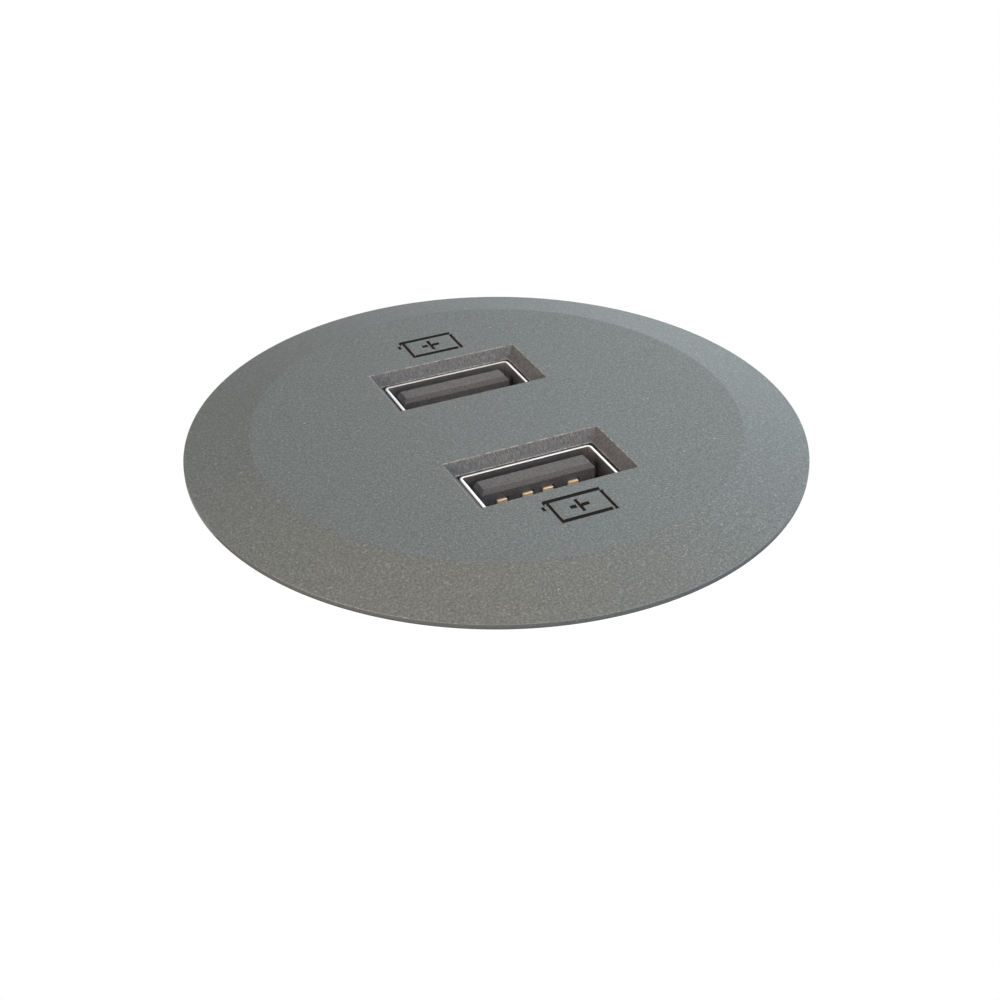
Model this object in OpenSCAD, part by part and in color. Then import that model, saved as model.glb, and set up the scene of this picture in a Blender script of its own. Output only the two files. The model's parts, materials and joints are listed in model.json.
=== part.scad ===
// A round twin USB charging socket that is let into a desk top. The origin is at the centre of the
// bezel's underside, on the desk's surface. +Z points up, the ports' long side runs along X, and the
// ports' contacts face -Y, which is the front.

/* [Bezel] */
// Diameter of the rim
bezel_d = 57; // [54:0.5:62]
// Diameter of the flat top
flat_d = 45; // [43:0.5:47]
// Height of the flat top above the desk
bezel_h = 2; // [1.8:0.1:2.6]
// Height of the straight band around the rim
rim_band_h = 0.5; // [0.3:0.1:0.9]
// Height of the flat top's underside above the desk
skin_z = 0.2; // [0.1:0.1:0.5]
// Depth of the engraved battery marks
mark_depth = 0.2; // [0.1:0.05:0.4]

/* [Ports] */
// Distance between the pockets' centres, from front to rear
pocket_pitch = 17.6; // [17:0.2:18.4]
// Length of a pocket at the top face
pocket_l = 15.1; // [14.4:0.1:16]
// Width of a pocket at the top face
pocket_w = 7.5; // [7.2:0.1:8]
// Depth of the pockets' sloping walls
pocket_depth = 1; // [0.7:0.1:1.2]
// Outer length of a port's shell
shell_l = 13.1; // [13:0.1:13.3]
// Outer width of a port's shell
shell_w = 5.72; // [5.6:0.04:5.8]
// Thickness of the shell's sheet metal
shell_t = 0.3; // [0.25:0.05:0.4]
// Depth of the shell's mouth below the top face
shell_recess = 0.9; // [0.7:0.1:1.1]
// Distance that a shell sits nearer the front than its pocket
shell_shift = 0.3; // [0.1:0.1:0.4]
// Depth of the tongue's tip below the shell's mouth
tongue_recess = 0.25; // [0.1:0.05:0.6]

/* [Fixing in the desk] */
// Diameter of the spigot that fills the hole in the desk
spigot_d = 50.4; // [50.2:0.1:51]
// Length of the spigot below the desk's surface
spigot_l = 4; // [3:0.5:5]
// Outside diameter of the barrel's thread
thread_d = 50; // [49.8:0.1:50.2]
// Pitch of the thread
pitch = 4; // [3.6:0.2:4.4]
// Thickness of the desk that the nut is drawn up against
desk_t = 18; // [12:1:24]
// Depth of the whole body below the desk's surface
body_depth = 60; // [59:0.5:64]

/* [Power supply] */
// Thickness of both circuit boards
board_t = 1.6; // [1.2:0.2:1.8]
// Room for the mains inlet, from the base to the lower board
inlet_room = 16; // [15.5:0.5:18]
// Distance from the tallest capacitor to the upper board
bulk_room = 4.5; // [4:0.5:12]
// Distance from the transformer to the upper board
trafo_room = 8.5; // [6:0.5:12]

/* [Hidden] */
$fn = 96;
over = 0.5;                        // how far a cutting solid runs past the face that it opens

coat = [0.48, 0.51, 0.51];
black_plastic = [0.12, 0.12, 0.13];
steel = [0.80, 0.81, 0.82];
gold = [0.83, 0.70, 0.40];
board_green = [0.10, 0.33, 0.20];
sleeve_black = [0.08, 0.08, 0.10];

bezel_r = bezel_d / 2;
spigot_r = spigot_d / 2;
spigot_wall = 1.9;
bore_clear = 0.2;                  // gap all round a shell, and between the skirt and the neck

// The ports: each shell stands on the upper board and ends just under the face.
pocket_x = 0.1;
foot_corner = 0.35;
shell_x = -0.05;
shell_corner = 0.9;
shell_z = bezel_h - shell_recess;
shell_h = 14;
usb_board_z = shell_z - shell_h;
leg_w = 1.8;
leg_drop = 2.4;
leg_root = 1;                      // how far a soldered leg or tail runs up into its part
tongue_l = 11.1;
tongue_t = 1.84;
tongue_z = shell_z - tongue_recess;
tongue_base_h = 4;
tip_front = [0.45, 0.3];           // chamfers of the tongue's tip, each one's depth and height
tip_rear = [0.15, 0.15];
tip_end = [0.4, 0.4];
contact_x = [-3.5, -1, 1, 3.5];
contact_w = 1;
contact_t = 0.3;
contact_z = shell_z - 1.7;
tail_w = 0.6;

// The battery marks, one outside each port.
mark_x = 0.3;
mark_y = 15.8;
mark_size = [5, 3];
mark_stroke = 0.3;
nub_size = [0.7, 1.5];
nub_stroke = 0.14;
plus_size = 1.8;

// The barrel: its neck sits inside the spigot, and its thread carries the nut.
root_r = thread_d / 2 - 1.1;
barrel_wall = 1.9;
barrel_in_r = root_r - barrel_wall;
cap_h = 3;
barrel_end = -body_depth + cap_h;
neck_r = spigot_r - spigot_wall - bore_clear;
neck_top = -0.6;
steps_per_turn = 32;
thread_top = -spigot_l - 3;
thread_turns = 9;
ridge_base = 1.25;                 // half of the ridge's width at its base
ridge_crest = 0.65;                // half of the ridge's width at its crest
ridge_sink = 0.3;                  // how far the ridge's base lies inside the wall that carries it
groove_w = 5;
groove_depth = 0.3;
groove_run = 2;                    // how far the grooves run past the thread's upper end
lug_w = 6.4;
lug_t = 2.5;
lug_r = barrel_in_r - lug_w / 2 - 0.1;
lug_angles = [45, 135, 225, 315];
lug_screw_d = 2.9;
lug_head = [5.2, 2];               // a screw head's diameter and height
lug_key = [2.4, 1.2];              // its hexagon socket's width and depth
lug_screw_gap = 1.2;               // from the screw's tip to the bezel's top plate
lug_hole_end = 0.6;                // from the screw hole's end to the top plate's underside

// The washer and the nut, drawn up against the desk's underside.
washer_t = 1.5;
tab_w = groove_w - 0.6;
tab_l = 4;                         // length of a tab's block, and of the groove's cutter
tab_r = root_r + 2;                // radius of the middle of both
nut_r = thread_d / 2 + 4;
washer_r = nut_r + 1;
nut_h = 9;
nut_gap = 0.1;
nut_top = -desk_t - washer_t - nut_gap;
rib_count = 24;
rib_r = 1.3;
bore_start = 2;                    // angle where the bore's circle starts, clear of the ridge's corners
thread_clear = 0.3;

// The boards, which hang from the bezel on two posts, with spacers between them.
board_r = barrel_in_r - 0.7;
post_x = 15;
posts = [[-post_x, 0], [post_x, 0]];
post_d = 5.2;
stud_d = 2.5;
stud_l = 7;
stud_root = 1;                     // how far a spacer's stud runs down into its hexagon
stud_gap = 0.5;                    // from a stud's end to the end of its hole
spacer_flats_d = 5.5;
spacer_tap_depth = 8;
power_board_z = inlet_room - body_depth;
power_under_z = power_board_z - board_t;
usb_under_z = usb_board_z - board_t;
link_at = [[18.8, 3.6], [18.8, -3.6]];
link_d = 1;
link_end = 0.8;                    // how far a link wire shows past each board
hole_clear = 0.3;
lead_d = 0.6;
lead_drop = 1.2;

// The parts under the upper board.
charge_chip_x = 4;
charge_chip_size = [5, 3.6, 1.5];
port_cap_y = 15;
port_cap_d = 5;
port_cap_h = 5.4;

// Places of the parts on the power board, and the distance between each one's two leads.
bulk_at = [-8, -11];
bulk_d = 12.5;
bulk_h = usb_under_z - bulk_room - power_board_z;
out_cap_d = 8;
out_cap_h = 12;
mains_cap_at = [5.05, -16];
mains_cap_size = [10.5, 5, 11];
safety_cap_at = [0, 18.1];
varistor_at = [-13.8, 8];
disc_d = 7;
disc_t = 3.4;
disc_lift = 1.2;
disc_leg_d = 1.4;
disc_pitch = 5;
fuse_at = [-2.6, -18.4];
fuse_d = 3.6;
fuse_h = 10;
fuse_bevel = [0.3, 0.4];
choke_at = [6, -8.5];
choke_d = 8;
choke_h = 10;
choke_flange = 1.2;

// The chips under the power board, each with its place and its size.
bridge_at = [0.8, -9.6];
bridge_size = [4.8, 3.8, 2.2];
controller_at = [-9.6, 12];
controller_size = [4.9, 3.8, 1.5];
opto_at = [9.5, 12];
opto_size = [4.6, 4.6, 2];
rectifier_at = [10.6, -10.2];
rectifier_size = [5, 4, 2.2];

// The transformer stands on its bobbin, with the core's middle leg upright.
trafo_at = [0, 8.5];
core_l = 20;
core_w = 6;
yoke_t = 3.5;
leg_t = 3;
leg_r = 3.2;
core_lift = 1;
core_h = usb_under_z - trafo_room - power_board_z - core_lift;
core_gap = 0.1;
leg_room = 0.1;                    // gap between the core's middle leg and the bobbin
bobbin_wall = 0.7;
flange_t = 0.8;
flange_size = [core_l - 2 * leg_t - 0.4, 15];
rail_w = 3;
winding_r = core_l / 2 - leg_t - 0.5;
bobbin_pins = [-5, 0, 5];
out_cap_at = [[(core_l + out_cap_d) / 2 + 0.6, 8.3], [15, -8]];

// The mains inlet in the base, a two-pole inlet with round pins.
inlet_pin_gap = 8.6;
inlet_pin_d = 2.4;
inlet_pin_recess = 1.5;
inlet_cavity = [16.6, 8.4];
inlet_depth = 11.3;
inlet_wall = 1.3;
inlet_flange = [22.5, 13.6];
inlet_flange_t = 1.2;
inlet_flange_corner = 3;
inlet_fit = 0.1;
inlet_top = -body_depth + inlet_depth + inlet_wall;
inlet_tip = [0.8, 0.6];            // a pin tip's taper across and along
inlet_stem_d = 1;
hook_w = 4;
hook_t = 1;
hook_reach = 0.8;

// The two long screws that draw the base, the boards and the bezel together.
cap_post_d = 6;
base_head_d = 5;
base_head_h = 2;
base_head_sink = 0.3;
base_slot = [3, 0.8, 1];
base_screw_reach = 6;

function port_y(side) = side * pocket_pitch / 2 - shell_shift;
function pair(at, gap, angle) = [for (s = [-1, 1]) at + s * gap / 2 * [cos(angle), sin(angle)]];

bulk_leads = pair(bulk_at, 5, 0);
out_cap_leads = [for (at = out_cap_at) each pair(at, 3.5, 90)];
mains_cap_leads = pair(mains_cap_at, 7.5, 0);
safety_cap_leads = pair(safety_cap_at, disc_pitch, 0);
varistor_leads = pair(varistor_at, disc_pitch, 90);
fuse_leads = pair(fuse_at, 2.5, 0);
choke_leads = pair(choke_at, 5, 90);
trafo_leads = [for (x = bobbin_pins, s = [-1, 1]) trafo_at + [x, s * (flange_size.y - rail_w) / 2]];
power_leads = concat(bulk_leads, out_cap_leads, mains_cap_leads, safety_cap_leads, varistor_leads,
    fuse_leads, choke_leads, trafo_leads);

module rounded_square(size, r) {
    square([size.x - 2 * r, size.y], center = true);
    square([size.x, size.y - 2 * r], center = true);
    for (x = [-1, 1], y = [-1, 1])
        translate([x * (size.x / 2 - r), y * (size.y / 2 - r)]) circle(r, $fn = 32);
}

module stadium(size) {
    square([size.x - size.y, size.y], center = true);
    for (x = [-1, 1]) translate([x * (size.x - size.y) / 2, 0]) circle(d = size.y);
}

module block(at, z, size) {
    translate([at.x - size.x / 2, at.y - size.y / 2, z]) cube(size);
}

module leads(places) {
    for (at = places) translate([at.x, at.y, power_under_z - lead_drop])
        cylinder(d = lead_d, h = board_t + lead_drop, $fn = 16);
}

// A helical ridge. Its section is a ring of [radius, height] corners, turned and raised step by step.
module helix_ridge(section, turns) {
    n = ceil(turns * steps_per_turn);
    m = len(section);
    points = [for (i = [0:n], c = section)
        let (a = i * 360 / steps_per_turn) [c.x * cos(a), c.x * sin(a), c.y + i * pitch / steps_per_turn]];
    sides = [for (i = [0:n - 1], j = [0:m - 1])
        let (a = i * m + j, b = i * m + (j + 1) % m) each [[a, b, b + m], [a, b + m, a + m]]];
    start = [[for (j = [m - 1:-1:0]) j]];
    end = [[for (j = [0:m - 1]) n * m + j]];
    polyhedron(points = points, faces = concat(start, sides, end), convexity = 10);
}

module pocket(side) {
    foot = [shell_l, shell_w] + 2 * bore_clear * [1, 1];
    hull() {
        translate([pocket_x, side * pocket_pitch / 2, bezel_h]) linear_extrude(0.01)
            square([pocket_l, pocket_w], center = true);
        translate([shell_x, port_y(side), bezel_h - pocket_depth]) linear_extrude(0.01)
            rounded_square(foot, foot_corner);
    }
    translate([shell_x, port_y(side), -over]) linear_extrude(bezel_h - pocket_depth + over)
        rounded_square(foot, foot_corner);
}

module battery_mark(side) {
    inside = mark_size - 2 * mark_stroke * [1, 1];
    translate([mark_x, side * mark_y, bezel_h - mark_depth]) linear_extrude(mark_depth + over) {
        difference() {
            square(mark_size, center = true);
            square(inside, center = true);
        }
        translate([-(mark_size.x + nub_size.x) / 2, 0]) difference() {
            square(nub_size, center = true);
            translate([nub_stroke, 0]) square(nub_size - nub_stroke * [0, 2], center = true);
        }
        square([plus_size, mark_stroke], center = true);
        square([mark_stroke, plus_size], center = true);
    }
}

module bezel() {
    skirt_in = spigot_r - spigot_wall;
    color(coat) difference() {
        union() {
            rotate_extrude() polygon([[0, skin_z], [0, bezel_h], [flat_d / 2, bezel_h], [bezel_r, rim_band_h],
                [bezel_r, 0], [spigot_r, 0], [spigot_r, -spigot_l], [skirt_in, -spigot_l],
                [skirt_in, skin_z]]);
            for (at = posts) translate([at.x, at.y, usb_board_z])
                cylinder(d = post_d, h = skin_z - usb_board_z + over);
            for (a = lug_angles) rotate(a) translate([lug_r, 0, -spigot_l])
                cylinder(d = post_d, h = spigot_l + skin_z + over);
        }
        for (side = [-1, 1]) {
            pocket(side);
            battery_mark(side);
        }
        for (at = posts) translate([at.x, at.y, usb_board_z - over])
            cylinder(d = stud_d, h = stud_l + over);
        for (a = lug_angles) rotate(a) translate([lug_r, 0, -spigot_l - over])
            cylinder(d = lug_screw_d, h = spigot_l + over - lug_hole_end);
    }
}

module bezel_screws() {
    head_z = -spigot_l - lug_t;
    color(steel) for (a = lug_angles) rotate(a) translate([lug_r, 0, head_z]) difference() {
        union() {
            translate([0, 0, -lug_head[1]]) cylinder(d = lug_head[0], h = lug_head[1]);
            cylinder(d = lug_screw_d, h = lug_t + spigot_l - lug_screw_gap);
        }
        translate([0, 0, -lug_head[1] - over])
            cylinder(d = lug_key[0], h = lug_key[1] + over, $fn = 6);
    }
}

module barrel() {
    ridge = [[root_r - ridge_sink, -ridge_base], [thread_d / 2, -ridge_crest],
        [thread_d / 2, ridge_crest], [root_r - ridge_sink, ridge_base]];
    color(black_plastic) difference() {
        union() {
            difference() {
                union() {
                    translate([0, 0, barrel_end]) cylinder(r = root_r, h = -spigot_l - barrel_end);
                    translate([0, 0, -spigot_l - 1]) cylinder(r = neck_r, h = neck_top + spigot_l + 1);
                }
                translate([0, 0, barrel_end - 1]) cylinder(r = barrel_in_r, h = body_depth);
            }
            translate([0, 0, thread_top - thread_turns * pitch]) helix_ridge(ridge, thread_turns);
            for (a = lug_angles) rotate(a) translate([0, 0, -spigot_l - lug_t]) {
                translate([lug_r, 0, 0]) cylinder(d = lug_w, h = lug_t);
                translate([lug_r, -lug_w / 2, 0]) cube([barrel_in_r + ridge_sink - lug_r, lug_w, lug_t]);
            }
        }
        for (s = [-1, 1]) block([s * (tab_r - groove_depth), 0], barrel_end - over,
            [tab_l, groove_w, thread_top + groove_run + over - barrel_end]);
        for (a = lug_angles) rotate(a) translate([lug_r, 0, -spigot_l - lug_t - over])
            cylinder(d = lug_screw_d + hole_clear, h = lug_t + 2 * over);
    }
}

module clamp_washer() {
    color(steel) translate([0, 0, -desk_t - washer_t]) {
        difference() {
            cylinder(r = washer_r, h = washer_t);
            translate([0, 0, -over]) cylinder(r = thread_d / 2 + thread_clear, h = washer_t + 2 * over);
        }
        for (s = [-1, 1]) block([s * tab_r, 0], 0, [tab_l, tab_w, washer_t]);
    }
}

module ring_nut() {
    bore_r = thread_d / 2 + thread_clear;
    ridge_turns = (nut_h - 2 * ridge_base - 0.2) / pitch;
    ridge_z = nut_top - nut_h + ridge_base + 0.1;
    phase = 360 * (ridge_z - thread_top - pitch / 2) / pitch;
    ridge = [[root_r + 0.35, -ridge_crest], [bore_r + 0.2, -ridge_base + 0.05],
        [bore_r + 0.2, ridge_base - 0.05], [root_r + 0.35, ridge_crest]];
    color(black_plastic) {
        difference() {
            translate([0, 0, nut_top - nut_h]) union() {
                cylinder(r = nut_r, h = nut_h);
                for (i = [0:rib_count - 1]) rotate(i * 360 / rib_count) translate([nut_r, 0, 0])
                    cylinder(r = rib_r, h = nut_h, $fn = 24);
            }
            translate([0, 0, nut_top - nut_h - over]) rotate(bore_start)
                cylinder(r = bore_r, h = nut_h + 2 * over);
        }
        translate([0, 0, ridge_z]) rotate(phase) helix_ridge(ridge, ridge_turns);
    }
}

module port_shell(side) {
    inner = [shell_l, shell_w] - 2 * shell_t * [1, 1];
    color(steel) translate([shell_x, port_y(side), usb_board_z]) {
        linear_extrude(shell_h) difference() {
            rounded_square([shell_l, shell_w], shell_corner);
            rounded_square(inner, shell_corner - shell_t);
        }
        for (s = [-1, 1]) block([s * (shell_l - shell_t) / 2, 0], -leg_drop,
            [shell_t, leg_w, leg_drop + leg_root]);
    }
}

module port_tongue(side) {
    base = [shell_l, shell_w] - 2 * shell_t * [1, 1];
    half = tongue_l / 2;
    low = tongue_base_h / 2;
    top = tongue_z - usb_board_z;
    color([0.16, 0.16, 0.17]) translate([shell_x, port_y(side), usb_board_z]) difference() {
        union() {
            linear_extrude(tongue_base_h) rounded_square(base, shell_corner - shell_t);
            intersection() {
                rotate([90, 0, 90]) translate([0, 0, -half]) linear_extrude(tongue_l)
                    polygon([[0, low], [0, top - tip_front.y], [tip_front.x, top],
                        [tongue_t - tip_rear.x, top], [tongue_t, top - tip_rear.y], [tongue_t, low]]);
                rotate([90, 0, 0]) translate([0, 0, -tongue_t - over]) linear_extrude(tongue_t + 2 * over)
                    polygon([[-half, low], [half, low], [half, top - tip_end.y], [half - tip_end.x, top],
                        [tip_end.x - half, top], [-half, top - tip_end.y]]);
            }
        }
        for (x = contact_x) block([x, -contact_t / 2], -over,
            [contact_w, contact_t, tongue_base_h + 2 * over]);
    }
}

module port_contacts(side) {
    color(gold) translate([shell_x, port_y(side), usb_board_z]) for (x = contact_x) {
        block([x, -contact_t / 2], 0, [contact_w, contact_t, contact_z - usb_board_z]);
        block([x, -contact_t / 2], -leg_drop, [tail_w, contact_t, leg_drop + leg_root]);
    }
}

module rear_port_shell() { port_shell(1); }
module rear_port_tongue() { port_tongue(1); }
module rear_port_contacts() { port_contacts(1); }
module front_port_shell() { port_shell(-1); }
module front_port_tongue() { port_tongue(-1); }
module front_port_contacts() { port_contacts(-1); }

module usb_board() {
    color(board_green) translate([0, 0, usb_under_z]) difference() {
        cylinder(r = board_r, h = board_t);
        for (at = posts) translate([at.x, at.y, -over])
            cylinder(d = stud_d + hole_clear, h = board_t + 2 * over);
        for (at = link_at) translate([at.x, at.y, -over])
            cylinder(d = link_d + hole_clear, h = board_t + 2 * over, $fn = 24);
        for (side = [-1, 1]) translate([shell_x, port_y(side), 0]) {
            for (s = [-1, 1]) block([s * (shell_l - shell_t) / 2, 0], -over,
                [shell_t + hole_clear, leg_w + hole_clear, board_t + 2 * over]);
            for (x = contact_x) translate([x, -contact_t / 2, -over])
                cylinder(d = tail_w + hole_clear, h = board_t + 2 * over, $fn = 24);
        }
    }
}

// A flat chip with legs along its two long sides, hung under a board.
module chip(at, z, size, legs) {
    gap = size.x / legs;
    leg = [gap * 0.4, 0.8, size.z / 2];
    stand_off = 0.1;
    color([0.09, 0.09, 0.10]) block(at, z - size.z - stand_off, size);
    color(steel) for (i = [0:legs - 1], s = [-1, 1])
        block([at.x - size.x / 2 + (i + 0.5) * gap, at.y + s * (size.y + leg.y) / 2], z - leg.z, leg);
}

module charge_controllers() {
    for (s = [-1, 1]) chip([s * charge_chip_x, 0], usb_under_z, charge_chip_size, 4);
}

// A can capacitor, upright on its seal, with a groove pressed round its lower end.
module can(d, h) {
    r = d / 2;
    step = 0.5;
    groove_z = [1.6, 2, 2.3, 2.7];
    rotate_extrude() polygon([[0, 0], [r, 0], [r, groove_z[0]], [r - step, groove_z[1]],
        [r - step, groove_z[2]], [r, groove_z[3]], [r, h - step], [r - step, h], [0, h]]);
}

module port_capacitors() {
    color(steel) for (s = [-1, 1]) translate([0, s * port_cap_y, usb_under_z]) mirror([0, 0, 1])
        can(port_cap_d, port_cap_h);
}

module board_spacers() {
    h = usb_under_z - power_board_z;
    color([0.78, 0.66, 0.36]) for (at = posts) translate([at.x, at.y, power_board_z]) difference() {
        union() {
            cylinder(d = spacer_flats_d, h = h, $fn = 6);
            translate([0, 0, h - stud_root])
                cylinder(d = stud_d, h = stud_root + board_t + stud_l - stud_gap);
        }
        translate([0, 0, -over]) cylinder(d = stud_d, h = spacer_tap_depth + over);
    }
}

module board_link_pins() {
    color([0.72, 0.45, 0.30]) for (at = link_at) translate([at.x, at.y, power_under_z - link_end])
        cylinder(d = link_d, h = usb_board_z - power_under_z + 2 * link_end, $fn = 24);
}

module power_board() {
    color(board_green) translate([0, 0, power_under_z]) difference() {
        cylinder(r = board_r, h = board_t);
        for (at = posts) translate([at.x, at.y, -over])
            cylinder(d = stud_d + hole_clear, h = board_t + 2 * over);
        for (at = link_at) translate([at.x, at.y, -over])
            cylinder(d = link_d + hole_clear, h = board_t + 2 * over, $fn = 24);
        for (at = power_leads) translate([at.x, at.y, -over])
            cylinder(d = lead_d + hole_clear, h = board_t + 2 * over, $fn = 16);
        for (s = [-1, 1]) translate([s * inlet_pin_gap / 2, 0, -over])
            cylinder(d = inlet_stem_d + hole_clear, h = board_t + 2 * over, $fn = 24);
    }
}

// One half of the core: a yoke, two flat outer legs and a round middle leg.
module core_half() {
    leg_h = core_h / 2 - core_gap / 2;
    translate([-core_l / 2, -core_w / 2, 0]) cube([core_l, core_w, yoke_t]);
    for (s = [-1, 1]) block([s * (core_l - leg_t) / 2, 0], 0, [leg_t, core_w, leg_h]);
    cylinder(r = leg_r, h = leg_h);
}

module transformer_core() {
    color([0.22, 0.22, 0.23]) translate([trafo_at.x, trafo_at.y, power_board_z + core_lift]) {
        core_half();
        translate([0, 0, core_h]) mirror([0, 0, 1]) core_half();
    }
}

module transformer_bobbin() {
    low = core_lift + yoke_t;
    high = core_lift + core_h - yoke_t;
    color([0.15, 0.15, 0.15]) translate([trafo_at.x, trafo_at.y, power_board_z]) {
        difference() {
            union() {
                translate([0, 0, low]) cylinder(r = leg_r + leg_room + bobbin_wall, h = high - low);
                for (z = [low, high - flange_t]) block([0, 0], z, [flange_size.x, flange_size.y, flange_t]);
                for (s = [-1, 1]) block([0, s * (flange_size.y - rail_w) / 2], 0,
                    [flange_size.x, rail_w, low + flange_t]);
            }
            translate([0, 0, -over]) cylinder(r = leg_r + leg_room, h = high + 2 * over);
        }
    }
    color(steel) leads(trafo_leads);
}

module transformer_winding() {
    low = core_lift + yoke_t + flange_t;
    high = core_lift + core_h - yoke_t - flange_t;
    color([0.90, 0.78, 0.22]) translate([trafo_at.x, trafo_at.y, power_board_z + low]) difference() {
        cylinder(r = winding_r, h = high - low);
        translate([0, 0, -over]) cylinder(r = leg_r + leg_room + bobbin_wall, h = high - low + 2 * over);
    }
}

module bulk_capacitor() {
    color(sleeve_black) translate([bulk_at.x, bulk_at.y, power_board_z]) can(bulk_d, bulk_h);
    color(steel) leads(bulk_leads);
}

module output_capacitors() {
    color([0.12, 0.16, 0.30]) for (at = out_cap_at) translate([at.x, at.y, power_board_z])
        can(out_cap_d, out_cap_h);
    color(steel) leads(out_cap_leads);
}

module mains_capacitor() {
    color([0.86, 0.80, 0.30]) block(mains_cap_at, power_board_z, mains_cap_size);
    color(steel) leads(mains_cap_leads);
}

// A disc part that stands on edge on its two leads.
module upright_disc(at, angle) {
    translate([at.x, at.y, power_board_z]) rotate(angle) {
        translate([0, disc_t / 2, disc_lift + disc_d / 2]) rotate([90, 0, 0])
            cylinder(d = disc_d, h = disc_t, $fn = 48);
        for (s = [-1, 1]) translate([s * disc_pitch / 2, 0, 0])
            cylinder(d = disc_leg_d, h = disc_lift + disc_d / 2, $fn = 24);
    }
}

module safety_capacitor() {
    color([0.20, 0.42, 0.70]) upright_disc(safety_cap_at, 0);
    color(steel) leads(safety_cap_leads);
}

module varistor() {
    color([0.15, 0.35, 0.62]) upright_disc(varistor_at, 90);
    color(steel) leads(varistor_leads);
}

module fuse() {
    color([0.55, 0.42, 0.30]) translate([fuse_at.x, fuse_at.y, power_board_z]) {
        cylinder(d = fuse_d, h = fuse_h, $fn = 48);
        translate([0, 0, fuse_h])
            cylinder(d1 = fuse_d, d2 = fuse_d - 2 * fuse_bevel[0], h = fuse_bevel[1], $fn = 48);
    }
    color(steel) leads(fuse_leads);
}

// A drum-shaped ferrite with its coil between two flanges.
module choke_core() {
    color([0.22, 0.22, 0.23]) translate([choke_at.x, choke_at.y, power_board_z]) {
        cylinder(d = choke_d, h = choke_flange);
        cylinder(d = choke_d / 2, h = choke_h);
        translate([0, 0, choke_h - choke_flange]) cylinder(d = choke_d, h = choke_flange);
    }
    color(steel) leads(choke_leads);
}

module choke_winding() {
    color([0.72, 0.40, 0.20]) translate([choke_at.x, choke_at.y, power_board_z + choke_flange]) difference() {
        cylinder(d = choke_d - 0.6, h = choke_h - 2 * choke_flange);
        translate([0, 0, -over]) cylinder(d = choke_d / 2, h = choke_h);
    }
}

module bridge_rectifier() { chip(bridge_at, power_under_z, bridge_size, 2); }
module controller_ic() { chip(controller_at, power_under_z, controller_size, 4); }
module optocoupler() { chip(opto_at, power_under_z, opto_size, 2); }
module output_rectifier() { chip(rectifier_at, power_under_z, rectifier_size, 1); }

module inlet_body() {
    outer = inlet_cavity + 2 * inlet_wall * [1, 1];
    hook_z = barrel_end + inlet_fit;
    color(black_plastic) difference() {
        union() {
            translate([0, 0, -body_depth]) linear_extrude(inlet_top + body_depth) stadium(outer);
            translate([0, 0, -body_depth]) linear_extrude(inlet_flange_t)
                rounded_square(inlet_flange, inlet_flange_corner);
            for (s = [-1, 1]) block([0, s * (outer.y + hook_reach - hook_t) / 2], hook_z,
                [hook_w, hook_reach + hook_t, hook_t]);
        }
        translate([0, 0, -body_depth - over]) linear_extrude(inlet_depth + over) stadium(inlet_cavity);
        for (s = [-1, 1]) translate([s * inlet_pin_gap / 2, 0, inlet_top - inlet_wall - over])
            cylinder(d = inlet_pin_d, h = inlet_wall + 2 * over);
    }
}

module inlet_pins() {
    tip = -body_depth + inlet_pin_recess;
    color(steel) for (s = [-1, 1]) translate([s * inlet_pin_gap / 2, 0, 0]) {
        translate([0, 0, tip]) cylinder(d1 = inlet_pin_d - inlet_tip.x, d2 = inlet_pin_d, h = inlet_tip.y);
        translate([0, 0, tip + inlet_tip.y]) cylinder(d = inlet_pin_d, h = inlet_top - tip - inlet_tip.y);
        translate([0, 0, inlet_top - over])
            cylinder(d = inlet_stem_d, h = power_board_z + link_end + over - inlet_top, $fn = 24);
    }
}

module base_cap() {
    window = inlet_cavity + 2 * (inlet_wall + inlet_fit) * [1, 1];
    color(black_plastic) difference() {
        union() {
            translate([0, 0, -body_depth]) cylinder(r = root_r, h = cap_h);
            for (at = posts) translate([at.x, at.y, barrel_end - over])
                cylinder(d = cap_post_d, h = power_under_z - barrel_end + over);
        }
        translate([0, 0, -body_depth - over]) linear_extrude(cap_h + 2 * over) stadium(window);
        translate([0, 0, -body_depth - over]) linear_extrude(inlet_flange_t + over)
            rounded_square(inlet_flange + 2 * inlet_fit * [1, 1], inlet_flange_corner + inlet_fit);
        for (at = posts) translate([at.x, at.y, -body_depth - over]) {
            cylinder(d = stud_d + hole_clear, h = body_depth);
            cylinder(d = base_head_d + 2 * hole_clear, h = base_head_h + base_head_sink + over);
        }
    }
}

module base_screws() {
    head_z = -body_depth + base_head_sink;
    color(steel) for (at = posts) translate([at.x, at.y, head_z]) difference() {
        union() {
            cylinder(d = base_head_d, h = base_head_h);
            cylinder(d = stud_d, h = power_board_z + base_screw_reach - head_z);
        }
        for (a = [0, 90]) rotate(a) block([0, 0], -over, base_slot + [0, 0, over]);
    }
}

bezel();
bezel_screws();
barrel();
clamp_washer();
ring_nut();
rear_port_shell();
rear_port_tongue();
rear_port_contacts();
front_port_shell();
front_port_tongue();
front_port_contacts();
usb_board();
charge_controllers();
port_capacitors();
board_spacers();
board_link_pins();
power_board();
transformer_core();
transformer_bobbin();
transformer_winding();
bulk_capacitor();
output_capacitors();
mains_capacitor();
safety_capacitor();
varistor();
fuse();
choke_core();
choke_winding();
bridge_rectifier();
controller_ic();
optocoupler();
output_rectifier();
inlet_body();
inlet_pins();
base_cap();
base_screws();
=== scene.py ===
"""The looks of a round desk socket with two charging ports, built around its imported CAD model.

Lengths are in millimetres and become metres where they reach Blender. +Z is up, z = 0 is the desk's
surface, and the ports' contacts face -Y.
"""

import contextlib
import json
import math

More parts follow.
